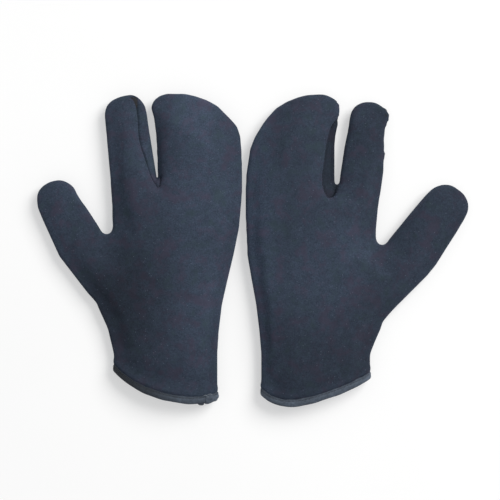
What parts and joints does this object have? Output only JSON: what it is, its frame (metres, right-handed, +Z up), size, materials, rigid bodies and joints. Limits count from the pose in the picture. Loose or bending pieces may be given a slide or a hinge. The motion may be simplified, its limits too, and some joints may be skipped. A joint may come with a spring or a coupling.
{
  "type": "sailing gloves",
  "caption": "Pair of neoprene sailing mitts with a thumb, an index finger and one wide compartment for the other fingers, lying palm up with tape-bound cuffs.",
  "frame": {"origin": "centre of the bounding box's base, on the surface that both gloves lie on", "axes": "+X across the pair, from the left-hand glove's thumb to the right-hand glove's thumb; +Y from the cuffs to the fingertips; +Z up out of the palms"},
  "size_m": [0.4003, 0.2908, 0.0227],
  "materials": {
    "neoprene": "matte",
    "gusset": "matte",
    "plush_lining": "matte",
    "cuff_tape": "satin",
    "thread": "matte"
  },
  "bodies": {
    "left_hand": {"left_hand_palm_panel": "neoprene", "left_hand_back_panel": "neoprene", "left_hand_lining": "plush_lining", "left_hand_gusset": "gusset", "left_cuff_binding": "cuff_tape", "left_cuff_thread": "thread"},
    "left_thumb_base": {"left_thumb_base_palm_panel": "neoprene", "left_thumb_base_back_panel": "neoprene", "left_thumb_base_lining": "plush_lining"},
    "left_thumb_tip": {"left_thumb_tip_palm_panel": "neoprene", "left_thumb_tip_back_panel": "neoprene", "left_thumb_tip_lining": "plush_lining"},
    "left_index_base": {"left_index_base_palm_panel": "neoprene", "left_index_base_back_panel": "neoprene", "left_index_base_lining": "plush_lining", "left_index_base_gusset": "gusset"},
    "left_index_tip": {"left_index_tip_palm_panel": "neoprene", "left_index_tip_back_panel": "neoprene", "left_index_tip_lining": "plush_lining", "left_index_tip_gusset": "gusset"},
    "left_fingers_base": {"left_fingers_base_palm_panel": "neoprene", "left_fingers_base_back_panel": "neoprene", "left_fingers_base_lining": "plush_lining", "left_fingers_base_gusset": "gusset"},
    "left_fingers_tip": {"left_fingers_tip_palm_panel": "neoprene", "left_fingers_tip_back_panel": "neoprene", "left_fingers_tip_lining": "plush_lining", "left_fingers_tip_gusset": "gusset"},
    "right_hand": {"right_hand_palm_panel": "neoprene", "right_hand_back_panel": "neoprene", "right_hand_lining": "plush_lining", "right_hand_gusset": "gusset", "right_cuff_binding": "cuff_tape", "right_cuff_thread": "thread"},
    "right_thumb_base": {"right_thumb_base_palm_panel": "neoprene", "right_thumb_base_back_panel": "neoprene", "right_thumb_base_lining": "plush_lining"},
    "right_thumb_tip": {"right_thumb_tip_palm_panel": "neoprene", "right_thumb_tip_back_panel": "neoprene", "right_thumb_tip_lining": "plush_lining"},
    "right_index_base": {"right_index_base_palm_panel": "neoprene", "right_index_base_back_panel": "neoprene", "right_index_base_lining": "plush_lining", "right_index_base_gusset": "gusset"},
    "right_index_tip": {"right_index_tip_palm_panel": "neoprene", "right_index_tip_back_panel": "neoprene", "right_index_tip_lining": "plush_lining", "right_index_tip_gusset": "gusset"},
    "right_fingers_base": {"right_fingers_base_palm_panel": "neoprene", "right_fingers_base_back_panel": "neoprene", "right_fingers_base_lining": "plush_lining", "right_fingers_base_gusset": "gusset"},
    "right_fingers_tip": {"right_fingers_tip_palm_panel": "neoprene", "right_fingers_tip_back_panel": "neoprene", "right_fingers_tip_lining": "plush_lining", "right_fingers_tip_gusset": "gusset"}
  },
  "joints": [
    {"name": "left_thumb_base_knuckle", "type": "hinge", "parent": "left_hand", "child": "left_thumb_base", "pos_m": [-0.1631, 0.0141, 0.009], "axis": [0.9135, 0.4067, 0], "range_deg": [0, 50], "stiffness_Nm_per_rad": 0.03},
    {"name": "left_thumb_middle_knuckle", "type": "hinge", "parent": "left_thumb_base", "child": "left_thumb_tip", "pos_m": [-0.1741, 0.0381, 0.009], "axis": [0.9135, 0.4067, 0], "range_deg": [0, 45], "stiffness_Nm_per_rad": 0.03},
    {"name": "left_index_base_knuckle", "type": "hinge", "parent": "left_hand", "child": "left_index_base", "pos_m": [-0.1121, 0.0761, 0.009], "axis": [0.9945, 0.1045, 0], "range_deg": [0, 50], "stiffness_Nm_per_rad": 0.02},
    {"name": "left_index_middle_knuckle", "type": "hinge", "parent": "left_index_base", "child": "left_index_tip", "pos_m": [-0.1156, 0.1091, 0.009], "axis": [0.9945, 0.1045, 0], "range_deg": [0, 45], "stiffness_Nm_per_rad": 0.02},
    {"name": "left_fingers_base_knuckle", "type": "hinge", "parent": "left_hand", "child": "left_fingers_base", "pos_m": [-0.0491, 0.0771, 0.009], "axis": [1, 0, 0], "range_deg": [0, 50], "stiffness_Nm_per_rad": 0.04},
    {"name": "left_fingers_middle_knuckle", "type": "hinge", "parent": "left_fingers_base", "child": "left_fingers_tip", "pos_m": [-0.0501, 0.1101, 0.009], "axis": [1, 0, 0], "range_deg": [0, 45], "stiffness_Nm_per_rad": 0.04},
    {"name": "right_thumb_base_knuckle", "type": "hinge", "parent": "right_hand", "child": "right_thumb_base", "pos_m": [0.1469, -0.0039, 0.009], "axis": [0.788, -0.6157, 0], "range_deg": [0, 50], "stiffness_Nm_per_rad": 0.03},
    {"name": "right_thumb_middle_knuckle", "type": "hinge", "parent": "right_thumb_base", "child": "right_thumb_tip", "pos_m": [0.1669, 0.0211, 0.009], "axis": [0.788, -0.6157, 0], "range_deg": [0, 45], "stiffness_Nm_per_rad": 0.03},
    {"name": "right_index_base_knuckle", "type": "hinge", "parent": "right_hand", "child": "right_index_base", "pos_m": [0.1029, 0.0741, 0.009], "axis": [0.9925, -0.1219, 0], "range_deg": [0, 50], "stiffness_Nm_per_rad": 0.02},
    {"name": "right_index_middle_knuckle", "type": "hinge", "parent": "right_index_base", "child": "right_index_tip", "pos_m": [0.1069, 0.1071, 0.009], "axis": [0.9925, -0.1219, 0], "range_deg": [0, 45], "stiffness_Nm_per_rad": 0.02},
    {"name": "right_fingers_base_knuckle", "type": "hinge", "parent": "right_hand", "child": "right_fingers_base", "pos_m": [0.0359, 0.0741, 0.009], "axis": [1, 0, 0], "range_deg": [0, 50], "stiffness_Nm_per_rad": 0.04},
    {"name": "right_fingers_middle_knuckle", "type": "hinge", "parent": "right_fingers_base", "child": "right_fingers_tip", "pos_m": [0.0379, 0.1071, 0.009], "axis": [1, 0, 0], "range_deg": [0, 45], "stiffness_Nm_per_rad": 0.04},
    {"name": "right_glove_apart", "type": "slide", "parent": "left_hand", "child": "right_hand", "axis": [1, 0, 0], "range_m": [0, 0.2]}
  ]
}
